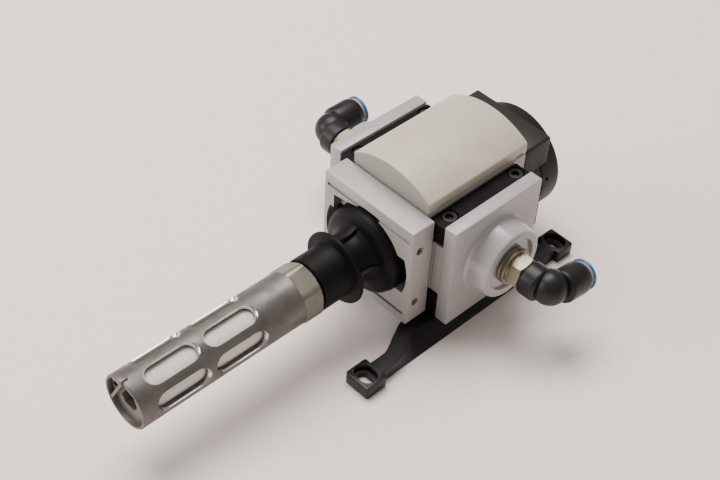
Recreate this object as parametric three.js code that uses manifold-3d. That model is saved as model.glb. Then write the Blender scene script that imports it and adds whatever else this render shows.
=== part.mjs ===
// Manual on/off valve module for a compressed-air service unit, lying on its two mounting
// brackets. Air enters and leaves through the side plates along X, the exhaust leaves through
// the silencer along -Y, and the rotary knob is at the +Y end. Millimetres, +Z up.
import * as THREE from "three";
import { mergeVertices } from "three/addons/utils/BufferGeometryUtils.js";
import Module from "manifold-3d";

const wasm = await Module();
wasm.setup();

// ---------------------------------------------------------------- driving dimensions
const MODULE_WIDTH = 62;          // standard width of one service-unit module
const AXIS_Z = 42.4;              // height of the silencer, spool and knob axis
const MODULE_BASE = 11;           // underside of the housing above the mounting surface
const MODULE_TOP = 73.8;          // joint between housing and cover
const FRONT_END = 14.55;          // the front block runs from y = 0 to here
const BODY_REAR = 86;             // rear face of the valve body and cover
const KNOB_REAR = 114.3;          // rear rim of the rotary knob
const GRIP_REAR = 118.8;          // rear of the knob's grip bar
const SILENCER_TIP = -148.3;      // rim at the free end of the silencer
const TIP_LUG = -149.4;           // small lug standing out of that rim
const PORT_Y = 46.9;              // both port axes cross the valve axis here
const PLATE_FRONT = 15.7;
const PLATE_REAR = 78.1;
const PLATE_INSIDE = 36.6;        // inner plane of a connecting plate
const PLATE_OUTSIDE = 44.1;
const ELBOW_X = 82;               // where the elbow's two arms cross
const ELBOW_TURN = { right: -9.4, left: 0 };   // degrees about the port axis, + is mouth up
const GAP = 0.3;                  // clearance between touching pieces
const KNOB_TURN_STROKE = 5;       // spool travel for a quarter turn of the knob

const HALF = MODULE_WIDTH / 2;
const BODY_HALF = 25.9;           // half width of the body and cover between the plates
const ORIGIN_Y = (TIP_LUG + GRIP_REAR) / 2;

// ---------------------------------------------------------------- finishes
function finish(color, roughness, metalness) {
  return new THREE.MeshStandardMaterial({ color, roughness, metalness });
}
const lightAluminium = finish(0xc6c7c6, 0.5, 0.35);
const coverPlastic = finish(0xd2cdc0, 0.45, 0);
const blackPlastic = finish(0x232323, 0.5, 0);
const blackMetal = finish(0x26262a, 0.45, 0.2);
const castAluminium = finish(0x84837f, 0.45, 0.7);
const porousPlastic = finish(0xe9e7e0, 0.9, 0);
const nickelBrass = finish(0xb4a890, 0.3, 0.9);
const bluePlastic = finish(0x2a86cf, 0.4, 0);
const steel = finish(0x9c9d9f, 0.35, 0.9);
const darkSteel = finish(0x4b3a34, 0.5, 0.7);
const rubber = finish(0x1b1b1b, 0.8, 0);
const brass = finish(0xb59a57, 0.35, 0.9);

// ---------------------------------------------------------------- shape helpers
function toSolid(geometry) {
  const bare = geometry.clone();
  for (const name of Object.keys(bare.attributes)) {
    if (name !== "position") bare.deleteAttribute(name);
  }
  const merged = mergeVertices(bare, 1e-5);
  return new wasm.Manifold(new wasm.Mesh({
    numProp: 3,
    vertProperties: Float32Array.from(merged.attributes.position.array),
    triVerts: Uint32Array.from(merged.index.array),
  }));
}

function toGeometry(solid) {
  const mesh = solid.getMesh();
  const geometry = new THREE.BufferGeometry();
  geometry.setAttribute("position", new THREE.BufferAttribute(mesh.vertProperties, 3));
  geometry.setIndex(new THREE.BufferAttribute(mesh.triVerts, 1));
  geometry.computeVertexNormals();
  return geometry;
}

// A box from its lowest corner to its highest corner.
function block(x0, x1, y0, y1, z0, z1) {
  const geometry = new THREE.BoxGeometry(x1 - x0, y1 - y0, z1 - z0);
  geometry.translate((x0 + x1) / 2, (y0 + y1) / 2, (z0 + z1) / 2);
  return toSolid(geometry);
}

// A turned piece. The profile lists [radius, distance along the axis] from one end to the
// other; it starts and ends on the axis, or closes on itself when it is a ring.
function turned(axis, profile, centre, segments = 24, phase = 0) {
  const points = profile.map(([radius, along]) => new THREE.Vector2(radius, along));
  const area = points.reduce((sum, p, i) => {
    const q = points[(i + 1) % points.length];
    return sum + p.x * q.y - q.x * p.y;
  }, 0);
  if (area < 0) points.reverse();
  const ring = points.every((p) => p.x > 0);
  if (ring) points.push(points[0].clone());
  const geometry = new THREE.LatheGeometry(points, segments, phase);
  if (axis === "x") geometry.rotateZ(-Math.PI / 2);
  if (axis === "z") geometry.rotateX(Math.PI / 2);
  geometry.translate(...centre);
  return toSolid(geometry);
}

function rod(axis, radius, from, to, centre, segments = 24, phase = 0) {
  return turned(axis, [[0, from], [radius, from], [radius, to], [0, to]], centre, segments, phase);
}

function tube(axis, outer, inner, from, to, centre, segments = 24) {
  const profile = [[inner, from], [outer, from], [outer, to], [inner, to]];
  return turned(axis, profile, centre, segments);
}

// An O-ring: a torus around the given axis.
function oRing(axis, major, minor, along, centre, segments = 16) {
  const steps = 5;
  const profile = [];
  for (let i = 0; i < steps; i += 1) {
    const angle = (i / steps) * Math.PI * 2;
    profile.push([major + minor * Math.cos(angle), along + minor * Math.sin(angle)]);
  }
  return turned(axis, profile, centre, segments);
}

// A plate outline in one plane, given as a THREE.Shape, extruded from one level to another.
// "z": outline in X and Y. "y": outline in X and Z. "x": outline in Y and Z.
function extruded(shape, axis, from, to, curveSegments = 12) {
  const geometry = new THREE.ExtrudeGeometry(shape, {
    depth: to - from, bevelEnabled: false, curveSegments,
  });
  if (axis === "z") geometry.translate(0, 0, from);
  if (axis === "y") {
    geometry.rotateX(Math.PI / 2);
    geometry.translate(0, to, 0);
  }
  if (axis === "x") {
    geometry.applyMatrix4(new THREE.Matrix4().makeBasis(
      new THREE.Vector3(0, 1, 0), new THREE.Vector3(0, 0, 1), new THREE.Vector3(1, 0, 0)));
    geometry.translate(from, 0, 0);
  }
  return toSolid(geometry);
}

// A rectangle with rounded corners.
function roundedRect(u0, u1, v0, v1, r) {
  const shape = new THREE.Shape();
  shape.moveTo(u0 + r, v0);
  shape.lineTo(u1 - r, v0);
  shape.absarc(u1 - r, v0 + r, r, -Math.PI / 2, 0, false);
  shape.lineTo(u1, v1 - r);
  shape.absarc(u1 - r, v1 - r, r, 0, Math.PI / 2, false);
  shape.lineTo(u0 + r, v1);
  shape.absarc(u0 + r, v1 - r, r, Math.PI / 2, Math.PI, false);
  shape.lineTo(u0, v0 + r);
  shape.absarc(u0 + r, v0 + r, r, Math.PI, Math.PI * 1.5, false);
  return shape;
}

function roundedBlock(axis, [u0, u1], [v0, v1], [from, to], r, curveSegments = 5) {
  return extruded(roundedRect(u0, u1, v0, v1, r), axis, from, to, curveSegments);
}

function mirrorX(solid) {
  return solid.mirror([1, 0, 0]);
}

function turnAboutAxis(solid, degrees) {
  return solid.translate([0, 0, -AXIS_Z]).rotate([0, degrees, 0]).translate([0, 0, AXIS_Z]);
}

const onAxis = [0, 0, AXIS_Z];
const onPort = [0, PORT_Y, AXIS_Z];

// ---------------------------------------------------------------- assembly
const unit = new THREE.Group();
unit.name = "on_off_valve";
unit.position.y = -ORIGIN_Y;

function add(name, solid, material) {
  const mesh = new THREE.Mesh(toGeometry(solid), material);
  mesh.name = name;
  unit.add(mesh);
}

// ---------------------------------------------------------------- housing
const CHAMBER_RADIUS = 13;
const PORT_RADIUS = 6.5;
const GLAND_Y = 82;               // the spindle's seal sits behind this shoulder
const FLANK = [27, 59];           // height range where the plates bear on the body

function valveBody() {
  let body = roundedBlock("y", [-BODY_HALF, BODY_HALF], [MODULE_BASE + GAP, MODULE_TOP - GAP],
    [FRONT_END + GAP, BODY_REAR], 1.2, 4);
  body = body.add(block(-HALF, HALF, PLATE_FRONT, PLATE_REAR, ...FLANK));
  body = body.subtract(rod("y", CHAMBER_RADIUS, 10, GLAND_Y, onAxis));
  body = body.subtract(rod("y", 6.9, GLAND_Y - 1, GLAND_Y + 2.2, onAxis, 24));
  body = body.subtract(rod("y", 4.4, GLAND_Y, BODY_REAR + 1, onAxis, 20));
  body = body.subtract(rod("x", PORT_RADIUS, -HALF - 1, HALF + 1, onPort, 24));
  return body;
}

const OPENING_RADIUS = 24.4;      // mouth that takes the exhaust adapter
const LUG_POCKET_RADIUS = 28.8;   // side pockets that the adapter's locking lugs enter
const LUG_POCKET_HALF = 11.3;
const SIDE_PIN_HEIGHTS = [24.2, 59.6];
const SIDE_PIN_Y = 5.7;

function frontBlock() {
  let front = roundedBlock("y", [-HALF, HALF], [MODULE_BASE, MODULE_TOP], [0, FRONT_END], 1, 4);
  const pocketSlab = block(-HALF, HALF, -1, FRONT_END + 1,
    AXIS_Z - LUG_POCKET_HALF, AXIS_Z + LUG_POCKET_HALF);
  front = front.subtract(rod("y", OPENING_RADIUS, -1, FRONT_END + 1, onAxis, 36));
  front = front.subtract(
    rod("y", LUG_POCKET_RADIUS, -1, FRONT_END + 1, onAxis, 36).intersect(pocketSlab));
  front = front.subtract(block(-24, -10, -1, 5, AXIS_Z + 4, 63));
  for (const [z0, z1] of [[66, 67.9], [16.4, 18.1]]) {
    front = front.subtract(block(-28.6, 28.2, -1, 0.8, z0, z1));
  }
  for (const side of [-1, 1]) {
    for (const z of SIDE_PIN_HEIGHTS) {
      const x0 = side > 0 ? HALF - 5 : -HALF - 1;
      front = front.subtract(rod("x", 2.3, x0, x0 + 6, [0, SIDE_PIN_Y, z], 12));
    }
  }
  return front;
}

function sidePin(side, z) {
  const inner = side * (HALF - 4.7);
  const outer = side * (HALF - 1.4);
  return rod("x", 2, Math.min(inner, outer), Math.max(inner, outer), [0, SIDE_PIN_Y, z], 12);
}

const COVER_HALF = 26.1;
const COVER_WALL_TOP = 80.4;
const COVER_CROWN = 8;

// Cover section: straight side walls under a shallow arch.
function coverOutline(half, z0, wallTop, crown) {
  const radius = (half * half + crown * crown) / (2 * crown);
  const spread = Math.asin(half / radius);
  const shape = new THREE.Shape();
  shape.moveTo(-half, z0);
  shape.lineTo(half, z0);
  shape.lineTo(half, wallTop);
  shape.absarc(0, wallTop + crown - radius, radius, Math.PI / 2 - spread, Math.PI / 2 + spread, false);
  shape.lineTo(-half, z0);
  return shape;
}

function frontCover() {
  const outer = coverOutline(COVER_HALF, MODULE_TOP + GAP, COVER_WALL_TOP, COVER_CROWN);
  const inner = coverOutline(COVER_HALF - 2, MODULE_TOP - 5, COVER_WALL_TOP - 0.8, COVER_CROWN - 1.2);
  let cover = extruded(outer, "y", FRONT_END + GAP, BODY_REAR, 16);
  cover = cover.subtract(extruded(inner, "y", FRONT_END + 2.3, BODY_REAR - 2, 16));
  for (const y of [23.5, 78.3]) {
    for (const side of [-1, 1]) {
      const x = side * COVER_HALF;
      cover = cover.subtract(block(x - 0.5, x + 0.5, y, y + 4.6, 74.6, 75.6));
    }
  }
  return cover;
}

// ---------------------------------------------------------------- knob end
const KNOB_RADIUS = 29.6;
const KNOB_FRONT = 100.2;
const HOUSING_FRONT = BODY_REAR + GAP;
const HOUSING_REAR = 105.4;
const SPINDLE_RADIUS = 4;

function knobHousing() {
  let housing = roundedBlock("y", [-COVER_HALF, COVER_HALF], [MODULE_BASE, MODULE_TOP],
    [HOUSING_FRONT, HOUSING_REAR], 1.5, 4);
  housing = housing.add(rod("y", KNOB_RADIUS, 90, KNOB_FRONT - GAP, onAxis, 36));
  housing = housing.subtract(rod("y", KNOB_RADIUS + 0.4, KNOB_FRONT - GAP, HOUSING_REAR + 1, onAxis, 36));
  housing = housing.subtract(rod("y", SPINDLE_RADIUS + 0.4, 80, KNOB_FRONT, onAxis, 28));
  housing = housing.subtract(rod("y", 2.1, 92, KNOB_FRONT, [20, 0, AXIS_Z], 16));
  return housing;
}

function rotaryKnob() {
  const rim = KNOB_RADIUS;
  const profile = [[0, KNOB_FRONT], [rim, KNOB_FRONT], [rim, KNOB_REAR - 1],
    [rim - 1, KNOB_REAR], [25.6, KNOB_REAR], [24.8, KNOB_REAR - 4], [0, KNOB_REAR - 4]];
  let knob = turned("y", profile, onAxis, 36);
  const grip = roundedBlock("y", [-25.2, 25.2], [AXIS_Z - 6, AXIS_Z + 6],
    [KNOB_REAR - 4.5, GRIP_REAR], 3, 4);
  knob = knob.add(grip.intersect(rod("y", 25.2, KNOB_REAR - 5, GRIP_REAR + 1, onAxis, 32)));
  knob = knob.subtract(rod("y", SPINDLE_RADIUS + GAP, 90, KNOB_REAR - 6, onAxis, 20));
  knob = knob.subtract(rod("y", 2.2, 90, 130, onAxis, 12));
  knob = knob.subtract(rod("y", 4.6, GRIP_REAR - 4, 130, onAxis, 20));
  for (const angle of [10, 170]) {
    const hole = rod("x", 1.1, 24, 40, [0, 104.2, 0], 8).rotate([0, -angle, 0]);
    knob = knob.subtract(hole.translate([0, 0, AXIS_Z]));
  }
  return knob;
}

function spindle() {
  let shaft = rod("y", SPINDLE_RADIUS, 50, KNOB_REAR - 6.4, onAxis, 20);
  shaft = shaft.subtract(rod("y", 1.7, 100, KNOB_REAR, onAxis, 16));
  shaft = shaft.subtract(rod("x", 1.5, -9, 9, [0, DRIVE_PIN_Y, AXIS_Z], 16));
  return shaft;
}

const DRIVE_PIN_Y = 56.5;

function knobScrew() {
  const head = rod("y", 4.2, GRIP_REAR - 3.7, GRIP_REAR - 0.8, onAxis, 20);
  const shank = rod("y", 1.4, 102, GRIP_REAR - 3, onAxis, 16);
  return head.add(shank).subtract(rod("y", 2.1, GRIP_REAR - 2.6, GRIP_REAR, onAxis, 6));
}

// ---------------------------------------------------------------- switching insert
const SLEEVE_BORE = 9;
const SPOOL_RADIUS = 8.6;
const SPOOL_SEALS = [29, 40];
const SLEEVE_SEALS = [23, 74];

function valveSleeve() {
  let sleeve = tube("y", CHAMBER_RADIUS - GAP, SLEEVE_BORE, 18, 79, onAxis);
  sleeve = sleeve.subtract(rod("x", 5.2, -20, 20, onPort, 24));
  for (const y of SLEEVE_SEALS) {
    sleeve = sleeve.subtract(tube("y", 14, 10.9, y - 1.2, y + 1.2, onAxis));
  }
  return sleeve;
}

function spool() {
  let piston = rod("y", SPOOL_RADIUS, 26, 66, onAxis, 20);
  piston = piston.subtract(rod("y", SPINDLE_RADIUS + 0.7, 43.5, 70, onAxis, 20));
  for (const y of SPOOL_SEALS) {
    piston = piston.subtract(tube("y", 10, 6.7, y - 1.1, y + 1.1, onAxis, 20));
  }
  const steps = 6;
  for (let i = 0; i <= steps; i += 1) {
    const turn = i / steps;
    const y = DRIVE_PIN_Y - KNOB_TURN_STROKE * turn;
    const slot = rod("x", 1.8, -12, 12, [0, y, 0], 6).rotate([0, 90 * turn, 0]);
    piston = piston.subtract(slot.translate([0, 0, AXIS_Z]));
  }
  return piston;
}

function drivePin() {
  return rod("x", 1.2, -7.6, 7.6, [0, DRIVE_PIN_Y, AXIS_Z], 14);
}

// ---------------------------------------------------------------- exhaust adapter and silencer
const ADAPTER_END = -39.7;
const ADAPTER_BORE = 9.4;

function exhaustAdapter() {
  const profile = [[ADAPTER_BORE, 13.2], [12.6, 13.2], [12.6, 9], [21, 9], [21, 4], [23.9, 4],
    [23.9, -2.8], [21.6, -5.6], [17, -6.8], [14.2, -10], [14.4, -19.4], [19.9, -20],
    [19.9, -21.7], [14.5, -22.2], [14.5, ADAPTER_END], [13.3, ADAPTER_END],
    [13.3, ADAPTER_END + 1.2], [ADAPTER_BORE, ADAPTER_END + 1.2]];
  let adapter = turned("y", profile, onAxis, 30);
  for (let i = 0; i < 4; i += 1) {
    const rib = block(14, 18.4, -19.6, -6.6, AXIS_Z - 1.6, AXIS_Z + 1.6);
    adapter = adapter.add(turnAboutAxis(rib, -98 - 90 * i));
  }
  const lugs = rod("y", LUG_POCKET_RADIUS - 0.6, 6, 9, onAxis, 36)
    .intersect(block(-40, 40, 5, 10, AXIS_Z - 9.6, AXIS_Z + 9.6))
    .subtract(rod("y", 18, 5, 10, onAxis, 20));
  return adapter.add(lugs);
}

const HEX_END = -52.2;
const SILENCER_RADIUS = 14.25;
const SLOT_ROWS = [[-139.6, -109.4], [-106.2, -75.6]];
const SLOT_HALF_WIDTH = 4.6;
const FIRST_SLOT_ANGLE = 70;

function silencerSlot([y0, y1]) {
  const shape = new THREE.Shape();
  const r = SLOT_HALF_WIDTH;
  shape.moveTo(y0 + r, -r);
  shape.lineTo(y1 - r, -r);
  shape.absarc(y1 - r, 0, r, -Math.PI / 2, Math.PI / 2, false);
  shape.lineTo(y0 + r, r);
  shape.absarc(y0 + r, 0, r, Math.PI / 2, Math.PI * 1.5, false);
  return extruded(shape, "x", 9, 20, 3);
}

function silencerBody() {
  const shell = turned("y", [[0, SILENCER_TIP], [13.4, SILENCER_TIP], [SILENCER_RADIUS, SILENCER_TIP + 0.9],
    [SILENCER_RADIUS, HEX_END - 0.6], [13.9, HEX_END + 0.2], [15.6, HEX_END + 1.4], [15.6, -41.5],
    [12.9, -40.1], [12.2, -40.1], [12.2, -39.2], [8.9, -39.2], [8.9, -24], [0, -24]], onAxis, 30);
  const hexagon = rod("y", 15.6, HEX_END - 1, -38, onAxis, 6).translate([0, 0, -AXIS_Z])
    .rotate([0, 24, 0]).translate([0, 0, AXIS_Z]);
  const front = rod("y", 20, -160, HEX_END, onAxis, 24);
  const thread = rod("y", 12.2, -39.6, -20, onAxis, 24);
  let body = shell.intersect(hexagon.add(front).add(thread));
  body = body.subtract(rod("y", 10.9, SILENCER_TIP + 7, HEX_END - 2, onAxis));
  body = body.subtract(rod("y", 6.4, HEX_END - 3, -20, onAxis, 20));
  for (const row of SLOT_ROWS) {
    const slot = silencerSlot(row);
    for (let i = 0; i < 6; i += 1) {
      const turn = slot.rotate([0, -FIRST_SLOT_ANGLE - 60 * i, 0]);
      body = body.subtract(turn.translate([0, 0, AXIS_Z]));
    }
  }
  const recess = rod("y", 12.5, SILENCER_TIP - 1, SILENCER_TIP + 2.4, onAxis);
  const web = block(-20, 20, SILENCER_TIP, SILENCER_TIP + 3, 5.2, 6.6).rotate([0, -61, 0])
    .translate([0, 0, AXIS_Z]);
  body = body.subtract(recess.subtract(web));
  body = body.subtract(rod("y", 5, SILENCER_TIP, SILENCER_TIP + 5.5, onAxis, 6));
  const lug = block(12.6, 15.2, TIP_LUG, SILENCER_TIP + 3, AXIS_Z - 3.4, AXIS_Z + 3.4);
  return body.add(turnAboutAxis(lug, -102));
}

function silencerInsert() {
  return tube("y", 10.5, 7, SILENCER_TIP + 7.4, HEX_END - 2.4, onAxis);
}

// ---------------------------------------------------------------- connecting plates
const BOSS_RIM = 56.4;
const SEAT_X = 54.6;              // where the fitting's collar seats

function connectingPlate() {
  const edge = 1;
  let plate = roundedBlock("x", [PLATE_FRONT, PLATE_REAR], [10.1, 73.3],
    [PLATE_INSIDE, PLATE_OUTSIDE], edge, 4);
  plate = plate.add(block(HALF + 0.4, PLATE_INSIDE + 1, PLATE_FRONT + 0.3, PLATE_REAR - 0.3, ...FLANK));
  const boss = turned("x", [[0, 40], [22, 40], [22, PLATE_OUTSIDE], [20.9, 46], [19.6, BOSS_RIM - 0.6],
    [19, BOSS_RIM], [15.2, BOSS_RIM], [14.6, SEAT_X], [0, SEAT_X]], onPort, 36);
  plate = plate.add(boss);
  plate = plate.subtract(rod("x", PORT_RADIUS, HALF - 1, 60, onPort, 24));
  plate = plate.subtract(rod("x", 8.7, 45, 60, onPort, 24));
  plate = plate.subtract(tube("x", 11, 8.1, HALF, 33.6, onPort, 24));
  return plate;
}

const BAR_HEIGHTS = { upper: [60.5, 71.8], lower: [12.5, 24.6] };
const BAR_X = [26.3, 36.3];
const SCREW_YS = { front: 24.6, rear: 72.6 };
const SCREW_X = 31.2;

function clampBar(level) {
  const [z0, z1] = BAR_HEIGHTS[level];
  let bar = roundedBlock("y", BAR_X, [z0, z1], [PLATE_FRONT, PLATE_REAR], 0.6, 3);
  if (level === "upper") {
    for (const y of Object.values(SCREW_YS)) {
      bar = bar.subtract(rod("z", 4.5, z1 - 4, z1 + 1, [SCREW_X, y, 0], 20));
      bar = bar.subtract(rod("z", 2.3, z0 - 1, z1, [SCREW_X, y, 0], 12));
    }
  }
  return bar;
}

function barScrew(y) {
  const top = BAR_HEIGHTS.upper[1] - 0.4;
  const centre = [SCREW_X, y, 0];
  const screw = rod("z", 4.1, top - 3.3, top, centre, 20).add(rod("z", 2, 61, top - 2, centre, 12));
  return screw.subtract(rod("z", 2.3, top - 2, top + 1, centre, 6));
}

// ---------------------------------------------------------------- mounting brackets
const FOOT_HEIGHT = 7.6;
const FOOT_X = [31.5, 47.2];
const FEET = { front: [-41.6, -28.1], rear: [101.5, 113.4] };

const BRACKET_INSET = { right: 0, left: 6.5 };    // how far a bracket sits towards the middle

// Cross-sections of the arm between its two feet: [y, inner x, outer x of the top, top z].
const ARM_HALF = [[0, 35.1, 44, 7.6], [10.6, 35.3, 43.8, 7.6], [15.2, 33.6, 42.3, 7.8],
  [19.6, 31.3, 40.5, 8.2], [24.4, 29.2, 38.2, 8.8], [28.4, 27.3, 36.4, 9.3], [33, 26.4, 35.8, 9.6]];

function bracketArm() {
  const [, start] = FEET.front;
  const [end] = FEET.rear;
  const rearScale = 0.72;
  const stations = ARM_HALF.map(([d, xi, xo, z]) => [start - 1 + d, xi, xo, z]);
  const mirrored = ARM_HALF.map(([d, xi, xo, z]) => [end + 1 - d * rearScale, xi, xo, z]);
  stations.push(...mirrored.reverse());
  const positions = [];
  for (const [y, inner, outer, top] of stations) {
    positions.push(inner, y, 0, 44, y, 0, outer, y, top, inner, y, top);
  }
  const index = [];
  for (let i = 0; i + 1 < stations.length; i += 1) {
    for (let k = 0; k < 4; k += 1) {
      const a = i * 4 + k;
      const b = i * 4 + ((k + 1) % 4);
      index.push(a, a + 4, b, b, a + 4, b + 4);
    }
  }
  const last = (stations.length - 1) * 4;
  index.push(0, 1, 2, 0, 2, 3, last, last + 2, last + 1, last, last + 3, last + 2);
  const geometry = new THREE.BufferGeometry();
  geometry.setAttribute("position", new THREE.Float32BufferAttribute(positions, 3));
  geometry.setIndex(index);
  return toSolid(geometry);
}

function stadiumX(cx, cy, length, r, z0, z1) {
  const shape = new THREE.Shape();
  const h = length / 2 - r;
  shape.moveTo(cx - h, cy - r);
  shape.lineTo(cx + h, cy - r);
  shape.absarc(cx + h, cy, r, -Math.PI / 2, Math.PI / 2, false);
  shape.lineTo(cx - h, cy + r);
  shape.absarc(cx - h, cy, r, Math.PI / 2, Math.PI * 1.5, false);
  return extruded(shape, "z", z0, z1, 5);
}

function mountingBracket(inset) {
  let bracket = bracketArm();
  for (const [y0, y1] of Object.values(FEET)) {
    const cy = (y0 + y1) / 2;
    const cx = (FOOT_X[0] + FOOT_X[1]) / 2;
    bracket = bracket.add(roundedBlock("z", FOOT_X, [y0, y1], [0, FOOT_HEIGHT], 1, 3));
    bracket = bracket.subtract(stadiumX(cx - 0.4, cy, 9.6, 2.9, -1, 9));
    bracket = bracket.subtract(stadiumX(cx - 0.4, cy, 12.4, 4.6, FOOT_HEIGHT - 3.4, 9));
  }
  const rail = block(27.4, 36.2, 16.2, 77.6, 2, 12.2);
  return bracket.translate([-inset, 0, 0]).add(rail);
}

// ---------------------------------------------------------------- push-in elbow fittings
const FITTING_FACE = 66.8;        // end of the nickel hexagon, where the elbow begins
const CORNER_RADIUS = 9.4;        // ball between the elbow's two arms
const CORNER_INSET = 3.1;         // its centre, back from the crossing along both arms
const ARM_END = 70.4;             // y of the elbow's mouth, before the elbow is turned
const RING_END = 73.3;            // y of the release ring's outer face
const TUBE_RADIUS = 6;            // the fitting takes a tube of 12 mm outside diameter

function fittingBody() {
  let fitting = turned("x", [[0, 47], [8.2, 47], [8.2, SEAT_X + GAP], [10.2, SEAT_X + GAP],
    [10.2, 59.2], [9.9, 59.6], [0, 59.6]], onPort, 20);
  const hexagon = rod("x", 9.8, 59.2, FITTING_FACE, onPort, 6, Math.PI / 4);
  fitting = fitting.add(hexagon.intersect(turned("x", [[0, 59], [9.9, 59], [9.9, FITTING_FACE - 0.5],
    [9.2, FITTING_FACE], [0, FITTING_FACE]], onPort, 20)));
  fitting = fitting.add(rod("x", 5.6, 60, 74, onPort, 20));
  fitting = fitting.subtract(tube("x", 7, 4.9, 70, 72, onPort, 20));
  fitting = fitting.subtract(rod("x", 4, 40, 80, onPort, 16));
  return fitting;
}

function elbowBody() {
  const alongY = [ELBOW_X, 0, AXIS_Z];
  const corner = [ELBOW_X - CORNER_INSET, PORT_Y + CORNER_INSET, AXIS_Z];
  const ball = [];
  for (let i = 0; i <= 10; i += 1) {
    const angle = (i / 10) * Math.PI;
    ball.push([i % 10 ? CORNER_RADIUS * Math.sin(angle) : 0, -CORNER_RADIUS * Math.cos(angle)]);
  }
  let elbow = turned("x", [[0, FITTING_FACE + GAP], [9.3, FITTING_FACE + GAP], [9.3, 75.6], [8.3, 76.8],
    [0, 76.8]], onPort, 20);
  elbow = elbow.add(turned("y", ball, corner, 20));
  elbow = elbow.add(turned("y", [[0, 54.4], [7.8, 54.4], [8.85, 55.6], [8.85, 67.1], [7.9, ARM_END],
    [0, ARM_END]], alongY, 20));
  elbow = elbow.subtract(rod("x", 6, 60, 74.6, onPort, 20));
  elbow = elbow.subtract(rod("x", 4, 60, ELBOW_X, onPort, 16));
  elbow = elbow.subtract(rod("y", 4, PORT_Y, 62, alongY, 16));
  elbow = elbow.subtract(rod("y", TUBE_RADIUS + 1.3, 58.6, ARM_END + 1, alongY, 20));
  return elbow;
}

function tubeSeal() {
  return oRing("y", TUBE_RADIUS + 0.35, 0.75, 59.8, [ELBOW_X, 0, AXIS_Z]);
}

function collet() {
  const centre = [ELBOW_X, 0, AXIS_Z];
  return turned("y", [[6.2, 61.6], [7, 61.6], [6.5, 66.6], [6.2, 66.6]], centre, 20);
}

function releaseRing() {
  const centre = [ELBOW_X, 0, AXIS_Z];
  return turned("y", [[6.15, 68.4], [7, 68.4], [7, 71.8], [8.4, 72], [8.2, RING_END],
    [6.15, RING_END]], centre, 24);
}

function swivelled(solid, degrees) {
  return solid.translate([0, -PORT_Y, -AXIS_Z]).rotate([degrees, 0, 0]).translate([0, PORT_Y, AXIS_Z]);
}

// ---------------------------------------------------------------- building the unit
add("valve_body", valveBody(), lightAluminium);
add("front_block", frontBlock(), lightAluminium);
add("front_cover", frontCover(), coverPlastic);
add("knob_housing", knobHousing(), blackPlastic);
add("rotary_knob", rotaryKnob(), blackPlastic);
add("knob_screw", knobScrew(), steel);
add("spindle", spindle(), steel);
add("spindle_seal", oRing("y", 5.55, 1.0, GLAND_Y + 1, onAxis), rubber);
add("drive_pin", drivePin(), steel);
add("detent_ball", rod("y", 1.9, 97.2, 99.6, [20, 0, AXIS_Z], 12), steel);
add("detent_spring", tube("y", 1.7, 1, 92.4, 96.8, [20, 0, AXIS_Z], 12), steel);
add("valve_sleeve", valveSleeve(), brass);
SLEEVE_SEALS.forEach((y, i) => add(`sleeve_seal_${i + 1}`, oRing("y", 12, 0.8, y, onAxis), rubber));
add("spool", spool(), lightAluminium);
SPOOL_SEALS.forEach((y, i) => add(`spool_seal_${i + 1}`, oRing("y", 7.85, 0.85, y, onAxis), rubber));
add("exhaust_adapter", exhaustAdapter(), blackPlastic);
add("silencer_body", silencerBody(), castAluminium);
add("silencer_insert", silencerInsert(), porousPlastic);

for (const [name, place, side] of [["right", (s) => s, 1], ["left", mirrorX, -1]]) {
  add(`connecting_plate_${name}`, place(connectingPlate()), lightAluminium);
  add(`plate_seal_${name}`, place(oRing("x", 9.5, 0.9, 32.5, onPort)), rubber);
  for (const level of Object.keys(BAR_HEIGHTS)) {
    add(`clamp_bar_${level}_${name}`, place(clampBar(level)), blackMetal);
  }
  for (const [where, y] of Object.entries(SCREW_YS)) {
    add(`bar_screw_${where}_${name}`, place(barScrew(y)), steel);
  }
  SIDE_PIN_HEIGHTS.forEach((z, i) => {
    add(`side_pin_${i === 0 ? "lower" : "upper"}_${name}`, sidePin(side, z), darkSteel);
  });
  add(`mounting_bracket_${name}`, place(mountingBracket(BRACKET_INSET[name])), blackMetal);
  add(`fitting_body_${name}`, place(fittingBody()), nickelBrass);
  add(`fitting_seal_${name}`, place(oRing("x", 5.35, 0.35, 71, onPort)), rubber);
  const turn = (solid) => swivelled(place(solid), ELBOW_TURN[name]);
  add(`elbow_body_${name}`, turn(elbowBody()), blackPlastic);
  add(`tube_seal_${name}`, turn(tubeSeal()), rubber);
  add(`collet_${name}`, turn(collet()), steel);
  add(`release_ring_${name}`, turn(releaseRing()), bluePlastic);
}

export default unit;
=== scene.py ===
"""Looks for the manual on/off valve module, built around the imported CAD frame.

Shapes are drawn in millimetres with y = 0 on the front face of the front block, and are put
into the frame, in metres, when each piece is finished.
"""
import math

import bmesh
import bpy
from mathutils import Matrix, Vector


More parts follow.
